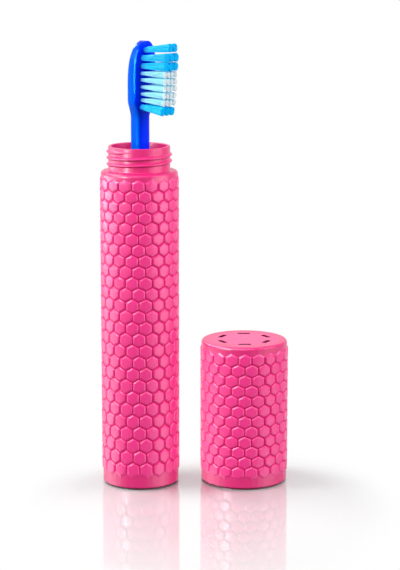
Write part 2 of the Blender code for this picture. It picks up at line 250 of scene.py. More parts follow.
def makePinkPlastic():
    # satin moulded plastic, duller in the grooves between pads, which carry a painted shade colour;
    # vents, recesses and the bore carry a darker painted shade
    material, tree = startMaterial("pinkPlastic")
    mould, bump = mouldOn(tree, pinkFinish)
    groove = attribute(tree, "grooveShare")
    deep = mapRange(tree, groove, pinkFinish["grooveEdge"], interpolation_type="SMOOTHSTEP")
    plain, paintedShade = attribute(tree, "plainShare"), attribute(tree, "paintedShadeShare")
    colour = blendColour(tree, mould["Cloud"], pinkFinish["padShade"], pinkFinish["pad"])
    for share, tone in ((deep, "groove"), (plain, "plain"), (paintedShade, "paintedShade")):
        colour = blendColour(tree, share, colour, pinkFinish[tone])
    satin = mapRange(tree, mould["Grain"], pinkFinish["roughGrain"], pinkFinish["roughness"])
    shader = {
        "Base Color": withBounce(tree, colour, pinkFinish),
        "IOR": pinkFinish["ior"],
        "Specular IOR Level": pinkFinish["gloss"],
        "Roughness": mapRange(tree, deep, end=(satin, pinkFinish["grooveRoughness"])),
        "Coat Weight": mapRange(tree, deep, end=(pinkFinish["skin"], 0.0)),
        "Coat Roughness": pinkFinish["skinRoughness"],
        "Coat IOR": pinkFinish["skinIor"],
        "Normal": bump,
    }
    feed(tree, tree.nodes["Principled BSDF"].inputs, shader)
    return material


pinkPlastic = makePinkPlastic()

blueFinish = {
    "face": (0.0, 0.024, 1.0, 1),  # the bristled side and the back
    # painted light: the lighter colour of the flanks
    "flank": (0.0, 0.125, 1.0, 1),
    "shade": 0.88,  # of the darkest clouds in it
    "bounce": (0.10, 0.12, 0.30, 1),
    "ior": 1.5,
    "gloss": 0.14,
    "glossTint": (0.0, 0.55, 1.0, 1),
    "roughness": (0.10, 0.17),
    "roughCloud": (0.3, 0.7),  # clouds that are smoothest and clouds that are roughest
    "grainSize": 0.0009,
    "grainStrength": 0.3,
    "grainDepth": 0.000006,
    "cloudSize": 0.02,
}


def makeBluePlastic():
    # clear-toned glossy plastic of the brush's handle, with painted light: its flanks are coloured
    # lighter, as if lit from the side
    material, tree = startMaterial("bluePlastic")
    mould, bump = mouldOn(tree, blueFinish)
    side = attribute(tree, "paintedFlankLight")
    clear = blendColour(tree, side, blueFinish["face"], blueFinish["flank"])
    depth = mapRange(tree, mould["Cloud"], end=(blueFinish["shade"], 1.0))
    colour = addNode(tree, "ShaderNodeVectorMath", {0: clear, "Scale": depth}, operation="SCALE")
    shader = {
        "Base Color": withBounce(tree, colour.outputs[0], blueFinish),
        "IOR": blueFinish["ior"],
        "Specular IOR Level": blueFinish["gloss"],
        "Specular Tint": blueFinish["glossTint"],
        "Roughness": mapRange(
            tree, mould["Cloud"], blueFinish["roughCloud"], blueFinish["roughness"]
        ),
        "Normal": bump,
    }
    feed(tree, tree.nodes["Principled BSDF"].inputs, shader)
    return material


# the root colours are painted shade, darker where the bristles crowd into the head
bristleFinish = {
    "cyan": {
        "Root": (0.0, 0.07, 0.75, 1),
        "Body": (0.01, 0.60, 0.96, 1),
        "Tip": (0.0, 0.50, 0.92, 1),
    },
    "ice": {
        "Root": (0.01, 0.12, 0.62, 1),
        "Body": (0.34, 0.78, 0.93, 1),
        "Tip": (0.72, 0.79, 0.82, 1),
    },
}
nylonFinish = {
    "ior": 1.53,
    "gloss": 0.06,
    "roughness": (0.34, 0.5),
    # painted glow: the bristles give off a little light of their own colour, in place of light that
    # seeps through the nylon
    "paintedGlow": 0.1,  # light that seeps through the nylon
}


def makeNylon(name):
    material, tree = startMaterial(name + "Bristle")
    along, strand = attribute(tree, "alongTuft"), attribute(tree, "strandTone")
    tone = addGroup(tree, strandTone, {"Along": along, "Strand": strand, **bristleFinish[name]})
    shader = {
        "Base Color": tone["Colour"],
        "IOR": nylonFinish["ior"],
        "Specular IOR Level": nylonFinish["gloss"],
        "Roughness": mapRange(tree, strand, end=nylonFinish["roughness"]),
        # a painted glow in the bristles' own colour
        "Emission Color": tone["Colour"],
        "Emission Strength": nylonFinish["paintedGlow"],
    }
    feed(tree, tree.nodes["Principled BSDF"].inputs, shader)
    return material


print("finishes ready")


# Mesh helpers

standing = {"case": [], "toothbrush": [], "cap": []}  # the finished pieces of each body
mouldCrisp = 40  # degrees, the angle past which an edge of a moulding is shaded sharp
nearly = 0.001  # points this near count as one, and pads this low as not raised
hair, slack = 0.01, 0.1  # fine and coarse play of the tests on where points and faces lie


def finishPiece(name, bm, material, body, replaced=()):
    # scales the shape to metres and hands it to its body
    bmesh.ops.scale(bm, vec=(mm, mm, mm), verts=bm.verts)
    bmesh.ops.recalc_face_normals(bm, faces=bm.faces)
    for face in bm.faces:
        face.smooth = True
    mesh = bpy.data.meshes.new(name)
    bm.to_mesh(mesh)
    bm.free()
    mesh.materials.append(material)
    piece = bpy.data.objects.new(name, mesh)
    bpy.context.scene.collection.objects.link(piece)
    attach(piece, body)
    if replaced:
        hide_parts(*replaced)
    standing[body].append(piece)


def keepCrisp(bm, degrees, soft=lambda place: False):
    # marks edges past an angle as sharp, except where soft says otherwise
    for edge in bm.edges:
        if edge.is_manifold and edge.calc_face_angle() > math.radians(degrees):
            edge.smooth = soft(edge.verts[0].co) and soft(edge.verts[1].co)


def cutAway(bm, cutter):
    # takes the cutter's shape out of bm and gives the result as a new bmesh
    shapes = []
    for label, shape in (("whole", bm), ("cutter", cutter)):
        bmesh.ops.recalc_face_normals(shape, faces=shape.faces)
        mesh = bpy.data.meshes.new(label)
        shape.to_mesh(mesh)
        shape.free()
        shapes.append(bpy.data.objects.new(label, mesh))
        bpy.context.scene.collection.objects.link(shapes[-1])
    whole, tool = shapes
    boolean = whole.modifiers.new("cut", "BOOLEAN")
    boolean.operation = "DIFFERENCE"
    boolean.solver = "EXACT"
    boolean.object = tool
    result = bmesh.new()
    result.from_object(whole, bpy.context.evaluated_depsgraph_get())
    for shape in shapes:
        mesh = shape.data
        bpy.data.objects.remove(shape)
        bpy.data.meshes.remove(mesh)
    return result


def shadeFaces(bm, test):
    # gives each face its share of the painted shade colour of slots, recesses and bores
    paintedShade = bm.faces.layers.float.new("paintedShadeShare")
    for face in bm.faces:
        middle = face.calc_center_median()
        face[paintedShade] = test(middle.z, middle.xy.length)


def smoothStep(value, start, end):
    share = min(max((value - start) / (end - start), 0), 1)
    return share * share * (3 - 2 * share)


def corner(radius, height, rounding, start, end, steps=4):
    # points of a quarter round about (radius, height), between two angles in degrees
    angles = [math.radians(start + (end - start) * step / steps) for step in range(steps + 1)]
    return [(radius + rounding * math.cos(a), height + rounding * math.sin(a)) for a in angles]


def drawOn(bm, edges):
    # extrudes a border, and gives the new points and the new border
    made = bmesh.ops.extrude_edge_only(bm, edges=edges)["geom"]
    verts = [item for item in made if isinstance(item, bmesh.types.BMVert)]
    border = [item for item in made if isinstance(item, bmesh.types.BMEdge) and item.is_boundary]
    return verts, border


def putAt(vert, radius, height):
    # moves a point straight out from the axis
    outward = vert.co.xy.normalized() * radius
    vert.co = (outward.x, outward.y, height)


def stepOff(bm, edges, rise):
    # a narrow strip beside a jagged border, so that the band next to it is shaded as flat as it is.
    # All that is drawn on from it is plain, like the strip
    strip, border = drawOn(bm, edges)
    bmesh.ops.translate(bm, vec=(0, 0, rise), verts=strip)
    plain = bm.verts.layers.float["plainShare"]
    for vert in strip:
        vert[plain] = 1
    return border


def turnOn(bm, edges, profile):
    # carries a round border on through (radius, height) points
    for radius, height in profile:
        verts, edges = drawOn(bm, edges)
        for vert in verts:
            putAt(vert, radius, height)
    return edges


padSizes = {
    "height": 0.4,
    "pitch": 5.6,
    "cornerShare": 0.12,  # of an edge, where a pad's corner starts to round
    "cornerReach": 0.99,  # of a pad's reach: points further out are corners
    "cornerPull": 0.968,
    "steps": ((0.38, 0.24), (0.38, 0.16), (0.12, 0.01)),  # width and rise: wall, chamfer, margin
    "lift": 0.1,  # how far a pad sits above its cell's middle, so its lower wall is the wider one
    "grooveFade": 0.3,  # the height over which a groove's share runs out
    "grooveDrop": 0.28,  # how much deeper a groove runs than the plain bands beside the pads
    "bandShare": 0.6,  # of a cell's side: points on the border this near its top or foot are band
    "strip": 0.12,  # height of the strip between pads and bands
}


def honeycombWall(bm, wall):
    # flat hexagons, inset into raised pads and rolled up into a tube. Gives its two borders
    padRadius = wall["grooveRadius"] + padSizes["height"]
    columns = round(math.tau * padRadius / padSizes["pitch"])
    bottom, top, growth = wall["lowestPad"], wall["highestPad"], wall["rowGrowth"]
    rows = round((top - bottom) / wall["rowPitch"] - 1 / 3)
    pitch = math.tau * padRadius / columns
    side = pitch / math.sqrt(3)
    sheetHeight = 1.5 * side * (rows - 1) + 2 * side

    for row in range(rows):
        shift = 0.5 * ((rows - 1 - row) % 2)
        for column in range(columns):
            centre = Vector(((column + shift) * pitch, side * (1 + 1.5 * row), 0))
            bmesh.ops.create_circle(
                bm, cap_ends=True, radius=side, segments=6, matrix=Matrix.Translation(centre)
            )
    bmesh.ops.remove_doubles(bm, verts=bm.verts, dist=nearly)
    share = padSizes["cornerShare"]
    for edge in list(bm.edges):
        _, near = bmesh.utils.edge_split(edge, edge.verts[0], share)
        bmesh.utils.edge_split(edge, near, (1 - 2 * share) / (1 - share))

    pads = list(bm.faces)
    for number, (width, rise) in enumerate(padSizes["steps"]):
        bmesh.ops.inset_individual(
            bm, faces=pads, thickness=width, depth=rise, use_even_offset=True
        )
        if number > 0:
            continue
        for pad in pads:
            centre = pad.calc_center_median()
            reach = max((vert.co - centre).length for vert in pad.verts)
            for vert in pad.verts:
                if (vert.co - centre).length > padSizes["cornerReach"] * reach:
                    vert.co = centre.lerp(vert.co, padSizes["cornerPull"])

    raised = [vert for vert in bm.verts if vert.co.z > nearly]
    bmesh.ops.translate(bm, vec=(0, padSizes["lift"], 0), verts=raised)
    # the share of a groove's depth, which brings in the grooves' painted shade colour and their
    # roughness
    groove = bm.verts.layers.float.new("grooveShare")
    bm.verts.layers.float.new("plainShare")
    band = padSizes["bandShare"] * side
    for vert in bm.verts:
        if not vert.is_boundary or band < vert.co.y < sheetHeight - band:
            vert[groove] = max(1 - vert.co.z / padSizes["grooveFade"], 0)
    for vert in bm.verts:
        if vert.co.z < nearly and vert[groove] > 0.5:
            vert.co.z -= padSizes["grooveDrop"]
        angle = math.tau * vert.co.x / (columns * pitch) - math.pi / 2
        up = vert.co.y / sheetHeight
        rise = up * (2 * growth - (growth - 1) * up) / (growth + 1)
        radius = wall["grooveRadius"] + vert.co.z
        height = bottom + (top - bottom) * rise
        vert.co = (radius * math.cos(angle), radius * math.sin(angle), height)
    bmesh.ops.remove_doubles(bm, verts=bm.verts, dist=nearly)
    middle = (bottom + top) / 2
    border = [edge for edge in bm.edges if edge.is_boundary]
    lower = [edge for edge in border if edge.verts[0].co.z < middle]
    upper = [edge for edge in border if edge.verts[0].co.z > middle]
    return stepOff(bm, lower, -padSizes["strip"]), stepOff(bm, upper, padSizes["strip"])


threadSizes = {
    "stepsInTurn": 72,
    "endShare": 0.04,  # of the ridge's height that is left at its ends
    "endSquash": 0.5,  # how much of its width it loses there
    "plainShare": 0.6,
}


def threadRidge(helix):
    # a small mound of plastic wound round the axis, run out into the wall at both ends
    bm = bmesh.new()
    offset = bm.verts.layers.float.new("offset")
    ring = []
    for share, across in helix["outline"]:
        radius = helix["buried"] + (helix["crest"] - helix["buried"]) * share
        vert = bm.verts.new((radius, 0, across))
        vert[offset] = across
        ring.append(vert)
    bm.faces.new(ring)
    bmesh.ops.rotate(
        bm,
        cent=(0, 0, 0),
        matrix=Matrix.Rotation(math.radians(helix["startAngle"]), 3, "Z"),
        verts=bm.verts,
    )
    bmesh.ops.translate(bm, vec=(0, 0, helix["startHeight"]), verts=bm.verts)
    steps = round(helix["turns"] * threadSizes["stepsInTurn"])
    bmesh.ops.spin(
        bm,
        geom=bm.verts[:] + bm.edges[:] + bm.faces[:],
        cent=(0, 0, 0),
        axis=(0, 0, 1),
        dvec=(0, 0, helix["pitch"] * helix["turns"] / steps),
        angle=math.tau * helix["turns"],
        steps=steps,
        use_merge=False,
    )
    least, squash = threadSizes["endShare"], threadSizes["endSquash"]
    for vert in bm.verts:
        along = (vert.co.z - vert[offset] - helix["startHeight"]) / helix["pitch"]
        fromEnd = min(along, helix["turns"] - along)
        share = least + (1 - least) * smoothStep(fromEnd, 0, helix["runOut"])
        radius = helix["buried"] + (vert.co.xy.length - helix["buried"]) * share
        putAt(vert, radius, vert.co.z - vert[offset] * squash * (1 - share))
    plain = bm.verts.layers.float.new("plainShare")
    for vert in bm.verts:
        vert[plain] = threadSizes["plainShare"]
    return bm


# Case

bandHold = 0.15  # a ring this far from each round keeps the band beside it flat

caseWall = {
    "grooveRadius": 15.6,
    "lowestPad": 4.8,
    "highestPad": 127.6,
    "rowPitch": 4.66,
    "rowGrowth": 1.25,
}
caseSizes = {
    "shoulder": 129.7,
    "shoulderRounding": 1.3,
    "shoulderSteps": 7,
    "footRounding": 0.5,
    "footSteps": 5,
    "footRing": (0.6, 1.5),  # height of the ring that it stands on, and how far that is set back
    "neckRadius": 12.5,
    "neckFillet": 0.6,
    "mouth": 139.6,
    "rimRounding": 0.3,
    "boreRadius": 11.35,
    "cavityRadius": 14.2,
    "throat": (0.3, 3.1, 3.4),  # above and below the shoulder, where the bore widens
    "throatEase": 0.1,
    "floor": 2.0,
    "floorRounding": 1.2,
    "floorMargin": 0.4,
    # share of the painted shade colour in the bore and cavity
    "insideShade": 0.2,
}
neckHelix = {
    "buried": 12.3,
    "crest": 13.3,
    # share of the way to the crest, and height across the ridge
    "outline": (
        (0.0, -0.88), (0.24, -0.74), (0.5, -0.54), (0.82, -0.33), (1.0, -0.1),
        (1.0, 0.1), (0.82, 0.33), (0.5, 0.54), (0.24, 0.74), (0.0, 0.88),
    ),
    "pitch": 2.55,
    "startAngle": 126,
    "startHeight": 131.9,
    "turns": 2.4,
    "runOut": 0.16,
}


def onWall(wall):
    # true for a point at the bottom of a groove between pads
    def test(place):
        low, high = wall["lowestPad"] - hair, wall["highestPad"] + hair
        reach = wall["grooveRadius"] + padSizes["grooveFade"]
        return low < place.z < high and place.xy.length < reach

    return test


def buildCase():
    size = caseSizes
    bm = bmesh.new()
    lower, upper = honeycombWall(bm, caseWall)
    outer = caseWall["grooveRadius"]
    turn, (ringHeight, setBack) = size["footRounding"], size["footRing"]
    foot = [(outer, ringHeight + turn + bandHold)]
    foot += corner(outer - turn, ringHeight + turn, turn, 0, -90, size["footSteps"])
    ring = [(outer - setBack, ringHeight), (outer - setBack, 0)]
    bmesh.ops.edgeloop_fill(bm, edges=turnOn(bm, lower, foot + ring))

    turn = size["shoulderRounding"]
    shoulder = [(outer, size["shoulder"] - turn - bandHold)]
    shoulder += corner(outer - turn, size["shoulder"] - turn, turn, 0, 90, size["shoulderSteps"])
    fillet = size["neckFillet"]
    root = corner(size["neckRadius"] + fillet, size["shoulder"] + fillet, fillet, -90, -180)
    rim = size["rimRounding"]
    outerRim = corner(size["neckRadius"] - rim, size["mouth"] - rim, rim, 0, 90)
    innerRim = corner(size["boreRadius"] + rim, size["mouth"] - rim, rim, 90, 180)
    above, widening, widened = size["throat"]
    throat = [
        (size["boreRadius"], size["shoulder"] + above),
        (size["boreRadius"] + size["throatEase"], size["shoulder"]),
        (size["cavityRadius"] - size["throatEase"], size["shoulder"] - widening),
        (size["cavityRadius"], size["shoulder"] - widened),
    ]
    bend = size["floorRounding"]
    floorBend = corner(size["cavityRadius"] - bend, size["floor"] + bend, bend, 0, -90)
    middle = [(size["cavityRadius"] - bend - size["floorMargin"], size["floor"])]
    profile = shoulder + root + outerRim + innerRim + throat + floorBend + middle
    bmesh.ops.edgeloop_fill(bm, edges=turnOn(bm, upper, profile))

    # painted shade: the recess of the ring it stands on gets the full dark colour as a painted
    # contact shadow, the bore and cavity a share of it
    def shadeOf(height, reach):
        if height < ringHeight + hair:
            return outer - setBack - slack / 2 < reach < outer - size["footRounding"] / 2
        inside = height < size["mouth"] - slack and reach < size["boreRadius"] + 2 * slack
        return size["insideShade"] * inside

    shadeFaces(bm, shadeOf)
    keepCrisp(bm, mouldCrisp, onWall(caseWall))
    finishPiece("caseTube", bm, pinkPlastic, "case", ["case_body"])
    finishPiece("neckThread", threadRidge(neckHelix), pinkPlastic, "case")


buildCase()
print("case built")


# Cap

capWall = {
    "grooveRadius": 17.65,
    "lowestPad": 4.2,
    "highestPad": 56.8,
    "rowPitch": 4.26,
    "rowGrowth": 1,
}
capSizes = {
    "place": (42.7, 2.2),
    "height": 59.4,
    "topRounding": 1.2,
    "topSteps": 7,
    "topMargin": 0.5,
    "rimRounding": 0.45,
    "rimStep": (0.6, 1.1),  # height of the step at the rim, and how far that is set back
    "skirtBore": 16.4,
    "skirtEase": (0.2, 0.1, 0.4),  # chamfer at the rim, and width and height of the one at the top
    "ceiling": 57.8,
    "collarRadius": 14.6,
    "collarBore": 13.4,
    "collarFoot": 2.0,
    "collarEase": (0.2, 0.3),  # chamfers outside and inside
    "shadeMargin": 3,  # the vents' walls lie further in from the side than this
}
ventSizes = {
    "count": 6,
    "ringRadius": 10.3,
    "length": 5.2,
    "width": 1.9,
    "cornerRounding": 0.45,
    "cornerSteps": 3,
    "cutterHeight": 4,
    "cutterDrop": 0.8,  # its middle, under the cap's top
}
collarHelix = {
    "buried": 13.6,
    "crest": 12.8,
    "outline": neckHelix["outline"],
    "pitch": 2.55,
    "startAngle": 126,
    "startHeight": 5.5,
    "turns": 1.75,
    "runOut": 0.16,
}


def ventCutter():
    # one long rounded box for each vent, square to the radius that it lies on
    vents = bmesh.new()
    for number in range(ventSizes["count"]):
        made = bmesh.ops.create_cube(vents, size=1)["verts"]
        box = (ventSizes["width"], ventSizes["length"], ventSizes["cutterHeight"])
        bmesh.ops.scale(vents, vec=box, verts=made)
        upright = {
            edge
            for vert in made
            for edge in vert.link_edges
            if abs(edge.verts[0].co.z - edge.verts[1].co.z) > 1
        }
        rounded = bmesh.ops.bevel(
            vents,
            geom=list(upright),
            offset=ventSizes["cornerRounding"],
            offset_type="OFFSET",
            segments=ventSizes["cornerSteps"],
            profile=0.5,
            affect="EDGES",
            material=-1,
        )
        made = list({vert for face in rounded["faces"] for vert in face.verts})
        turn = Matrix.Rotation(math.pi / 2 + math.tau * number / ventSizes["count"], 4, "Z")
        height = capSizes["height"] - ventSizes["cutterDrop"]
        out = Matrix.Translation((ventSizes["ringRadius"], 0, height))
        bmesh.ops.transform(vents, matrix=turn @ out, verts=made)
    return vents


def buildCap():
    size = capSizes
    bm = bmesh.new()
    lower, upper = honeycombWall(bm, capWall)
    outer, turn = capWall["grooveRadius"], size["topRounding"]
    top = [(outer, size["height"] - turn - bandHold)]
    top += corner(outer - turn, size["height"] - turn, turn, 0, 90, size["topSteps"])
    top += [(outer - turn - size["topMargin"], size["height"])]
    bmesh.ops.edgeloop_fill(bm, edges=turnOn(bm, upper, top))

    rim, (stepHeight, setBack) = size["rimRounding"], size["rimStep"]
    foot = [(outer, stepHeight + rim + bandHold)]
    foot += corner(outer - rim, stepHeight + rim, rim, 0, -90)
    foot += [(outer - setBack, stepHeight), (outer - setBack, 0)]
    atRim, easeWidth, easeHeight = size["skirtEase"]
    skirt = [
        (size["skirtBore"] + atRim, 0),
        (size["skirtBore"], atRim),
        (size["skirtBore"], size["ceiling"] - easeHeight),
        (size["skirtBore"] - easeWidth, size["ceiling"]),
    ]
    outside, inside = size["collarEase"]
    collar = [
        (size["collarRadius"], size["ceiling"]),
        (size["collarRadius"], size["collarFoot"] + outside),
        (size["collarRadius"] - outside, size["collarFoot"]),
        (size["collarBore"] + inside, size["collarFoot"]),
        (size["collarBore"], size["collarFoot"] + inside),
        (size["collarBore"], size["ceiling"] - inside),
        (size["collarBore"] - inside, size["ceiling"]),
    ]
    bmesh.ops.edgeloop_fill(bm, edges=turnOn(bm, lower, foot + skirt + collar))
    bm = cutAway(bm, ventCutter())

    # painted shade: the recess of the rim step gets the full dark colour as a painted contact
    # shadow, and so do the vents' walls
    def shadeOf(height, reach):
        if height < stepHeight + hair:
            return outer - setBack - slack / 2 < reach < outer - rim / 2
        inTop = size["ceiling"] + slack < height < size["height"] - slack
        return inTop and reach < outer - size["shadeMargin"]

    shadeFaces(bm, shadeOf)
    keepCrisp(bm, mouldCrisp, onWall(capWall))
    place = (*size["place"], 0)
    bmesh.ops.translate(bm, vec=place, verts=bm.verts)
    finishPiece("capShell", bm, pinkPlastic, "cap", ["screw_cap"])

    ridge = threadRidge(collarHelix)
    bmesh.ops.translate(ridge, vec=place, verts=ridge.verts)
    finishPiece("collarThread", ridge, pinkPlastic, "cap")


buildCap()
print("cap built")


# Toothbrush

brushSizes = {
    "place": (0.45, 0, 2.3),
    "turn": -42,  # the bristles point right and towards the front
    "length": 179.5,
    "gripWidth": 12.4,
    "gripThickness": 9.0,
    "gripLength": 84.0,
    "gripTaper": 30.0,
    "buttRounding": 5.5,
    "buttFullness": 1.02,
    "neckWidth": 7.4,
    "neckThickness": 5.6,
    "headThickness": 6.3,
    "tipThickness": 3.9,
    "face": 4.1,  # the bristled face, in front of the handle's axis
    "faceLean": 0.4,  # how much further out it is at the tip
    "tuftFoot": 3.2,  # from here the tufts' lengths are measured
    "sideMargin": 2.4,
    "tipMargin": 3.6,
    "heelMargin": 4.7,
    "headShoulder": 7.5,
    "endShare": 0.57,  # of the head's length, from its widest place to its tip
    "endFullness": 1.003,
    "endFlat": 0.02,
    "squareness": (2.6, 3.4, 4.2),  # of grip, neck and head: 2 is an ellipse
    "sides": 48,
    "ringSteps": 10,  # rings in the butt, the grip's taper and the head's shoulder
    "endSteps": 18,
    # flankTurn and flankFront bound where the flanks get their painted light
    "flankTurn": (0.35, 0.8),  # where the side faces enough across to be a flank
    "flankFront": (-2.9, -2.1),  # where the flank ends towards the bristles
}
tuftSizes = {
    "spread": 0.33,
    "rowGap": 0.85,
    "columnGap": 0.1,
    "clearance": 0.15,
    "holeDepth": 2.2,
    "holeSides": 20,
    "cutterPast": 3,  # how far a hole's cutter runs past the tufts' feet, out of the head
    "bridge": 0.8,
    # rows from tip to heel: tufts, radius, length, tilt to the tip, bristles in a tuft, finish
    "rows": (
        (2, 1.0, 14.0, 6, 85, "cyan"),
        (3, 1.0, 13.4, 3, 85, "cyan"),
        (3, 1.0, 13.1, 1, 85, "cyan"),
        (4, 0.65, 12.8, 0, 45, "ice"),
        (4, 0.65, 12.7, -1, 45, "ice"),
        (4, 0.65, 12.6, -1, 45, "ice"),
        (4, 0.65, 12.5, -1.5, 45, "ice"),
        (4, 0.65, 12.4, -3, 45, "ice"),
        (3, 1.0, 11.9, -6.5, 85, "cyan"),
    ),
    "beyond": (1.0, 1.0, 1.0, 0.8, 0.8, 0.8, 0.6, 0.5, 0.2),  # what the cut tips add to each row
    # how far the tips reach from a tuft's middle, towards the next row and the next column
    "tipReach": {"cyan": (1.84, 1.42), "ice": (1.34, 1.02)},
    "strandRadius": (0.084, 0.135),  # at the root and at the tip
    "strandSides": 6,
    "strandCrisp": 50,  # degrees, the angle past which an edge is shaded sharp
    "rootDepth": 1.7,
    "goldenAngle": 137.508,
    "sway": 0.035,
    "unevenness": 0.004,  # of the bristles' lengths
}


def rowPitch(upper, lower):
    # the root distance of two rows, so that tips and holes both keep their room
    _, upperRadius, upperLength, upperTilt, _, _ = upper
    _, lowerRadius, lowerLength, lowerTilt, _, _ = lower
    leaning = math.sin(math.radians(upperTilt)) - math.sin(math.radians(lowerTilt))
    parting = min(upperLength, lowerLength) * leaning
    radii = upperRadius + lowerRadius
    atTips = radii + 2 * tuftSizes["spread"] + tuftSizes["rowGap"] - parting
    atRoots = radii + 2 * tuftSizes["clearance"] + tuftSizes["bridge"]
    return max(atTips, atRoots)


def tuftPlaces():
    # (row, column, drop from the head's tip, place across) of each tuft
    places = []
    drop = brushSizes["tipMargin"]
    rows = tuftSizes["rows"]
    for row, (count, radius, _, _, _, _) in enumerate(rows):
        if row > 0:
            drop += rowPitch(rows[row - 1], rows[row])
        columnPitch = 2 * (radius + tuftSizes["spread"]) + tuftSizes["columnGap"]
        for column in range(count):
            places.append((row, column, drop, (column - (count - 1) / 2) * columnPitch))
    return places


def brushPlace():
    turn = Matrix.Rotation(math.radians(brushSizes["turn"]), 4, "Z")
    return Matrix.Translation(brushSizes["place"]) @ turn


def tuftAxis(drop, across, tilt):
    out = Matrix.Rotation(math.pi / 2 - math.radians(tilt), 4, "Y")
    return Matrix.Translation((brushSizes["tuftFoot"], across, brushSizes["length"] - drop)) @ out


def handleSection(height, headWidth, headLength, endLength):
    # width, thickness, forward offset and squareness of the handle at a height above its butt
    size = brushSizes
    toNeck = smoothStep(height, size["gripLength"], size["gripLength"] + size["gripTaper"])
    headStart = size["length"] - headLength
    toHead = smoothStep(height, headStart, headStart + size["headShoulder"])
    width = size["gripWidth"] + (size["neckWidth"] - size["gripWidth"]) * toNeck
    thickness = size["gripThickness"] + (size["neckThickness"] - size["gripThickness"]) * toNeck
    butt = size["buttRounding"]
    if height < butt:
        part = math.sqrt(1 - ((butt - height) / (butt * size["buttFullness"])) ** 2)
        width *= part
        thickness *= part
    width += (headWidth - width) * toHead
    thickness += (size["headThickness"] - thickness) * toHead
    forward = (size["face"] - size["headThickness"] / 2) * toHead
    pastWidest = height - (size["length"] - endLength)
    if pastWidest > 0:
        part = pastWidest / endLength
        width = headWidth * math.sqrt(1 - (part / size["endFullness"]) ** 4)
        thinning = size["tipThickness"] - size["headThickness"]
        thickness = size["headThickness"] + thinning * part**2
        forward = size["face"] + size["faceLean"] * part**2 - thickness / 2
    grip, neck, head = size["squareness"]
    square = grip + (neck - grip) * toNeck
    square += (head - square) * toHead
    return width, thickness, forward, square


def buildBrush(places):
    # a ring drawn up through the handle's sections
    size = brushSizes
    rows = tuftSizes["rows"]
    widest = max(abs(across) + rows[row][1] for row, _, _, across in places)
    headWidth = 2 * (widest + size["sideMargin"])
    headLength = places[-1][2] + size["heelMargin"]
    endLength = size["endShare"] * headLength
    headStart = size["length"] - headLength
    steps, endSteps = size["ringSteps"], size["endSteps"]
    turns = [math.radians(90 * step / steps) for step in range(steps + 1)]
    heights = [size["buttRounding"] * (1 - math.cos(turn)) for turn in turns]
    heights += [size["gripLength"] * share for share in (0.2, 0.4, 0.6, 0.8)]
    heights += [size["gripLength"] + size["gripTaper"] * step / steps for step in range(steps + 1)]
    neckEnd = size["gripLength"] + size["gripTaper"]
    heights += [neckEnd + (headStart - neckEnd) * share for share in (0.3, 0.6)]
    heights += [headStart + size["headShoulder"] * step / steps for step in range(steps + 1)]
    turns = [math.radians(90 - 90 * step / endSteps) for step in range(endSteps)]
    heights += [size["length"] - endLength * (1 - math.cos(turn)) for turn in turns]
    heights += [size["length"] - size["endFlat"], size["length"]]

    bm = bmesh.new()
    around = bm.verts.layers.float.new("around")
    verts = bmesh.ops.create_circle(bm, cap_ends=True, radius=1, segments=size["sides"])["verts"]
    for vert in verts:
        vert[around] = math.atan2(vert.co.y, vert.co.x)
    edges = list(bm.edges)
    for number, height in enumerate(heights):
        if number > 0:
            verts, edges = drawOn(bm, edges)
        width, thickness, forward, square = handleSection(height, headWidth, headLength, endLength)
        for vert in verts:
            c, s = math.cos(vert[around]), math.sin(vert[around])
            vert.co = (
                forward + math.copysign(abs(c) ** (2 / square), c) * thickness / 2,
                math.copysign(abs(s) ** (2 / square), s) * width / 2,
                height,
            )
    bmesh.ops.edgeloop_fill(bm, edges=edges)

    holes = bmesh.new()
    for row, _, drop, across in places:
        _, radius, _, tilt, _, _ = rows[row]
        bore = radius + tuftSizes["clearance"]
        past = tuftSizes["cutterPast"]
        depth = tuftSizes["holeDepth"] + past
        bmesh.ops.create_cone(
            holes,
            cap_ends=True,
            segments=tuftSizes["holeSides"],
            radius1=bore,
            radius2=bore,
            depth=depth,
            matrix=tuftAxis(drop, across, tilt) @ Matrix.Translation((0, 0, past - depth / 2)),
        )
    bm = cutAway(bm, holes)
    # the cut leaves points on straight edges, where triangles would fold over
    straight = math.radians(5)
    onEdge = [vert for vert in bm.verts if len(vert.link_edges) == 2]
    spare = [vert for vert in onEdge if vert.calc_edge_angle() < straight]
    bmesh.ops.dissolve_verts(bm, verts=spare)
    keepCrisp(bm, mouldCrisp)
    # how much of the flanks' painted light each point gets
    side = bm.verts.layers.float.new("paintedFlankLight")
    bm.normal_update()
    for vert in bm.verts:
        sideways = smoothStep(abs(vert.normal.y), *size["flankTurn"])
        vert[side] = sideways * smoothStep(-vert.co.x, *size["flankFront"])
    bmesh.ops.transform(bm, matrix=brushPlace(), verts=bm.verts)
    finishPiece("brushBody", bm, makeBluePlastic(), "toothbrush", ["brush_handle"])


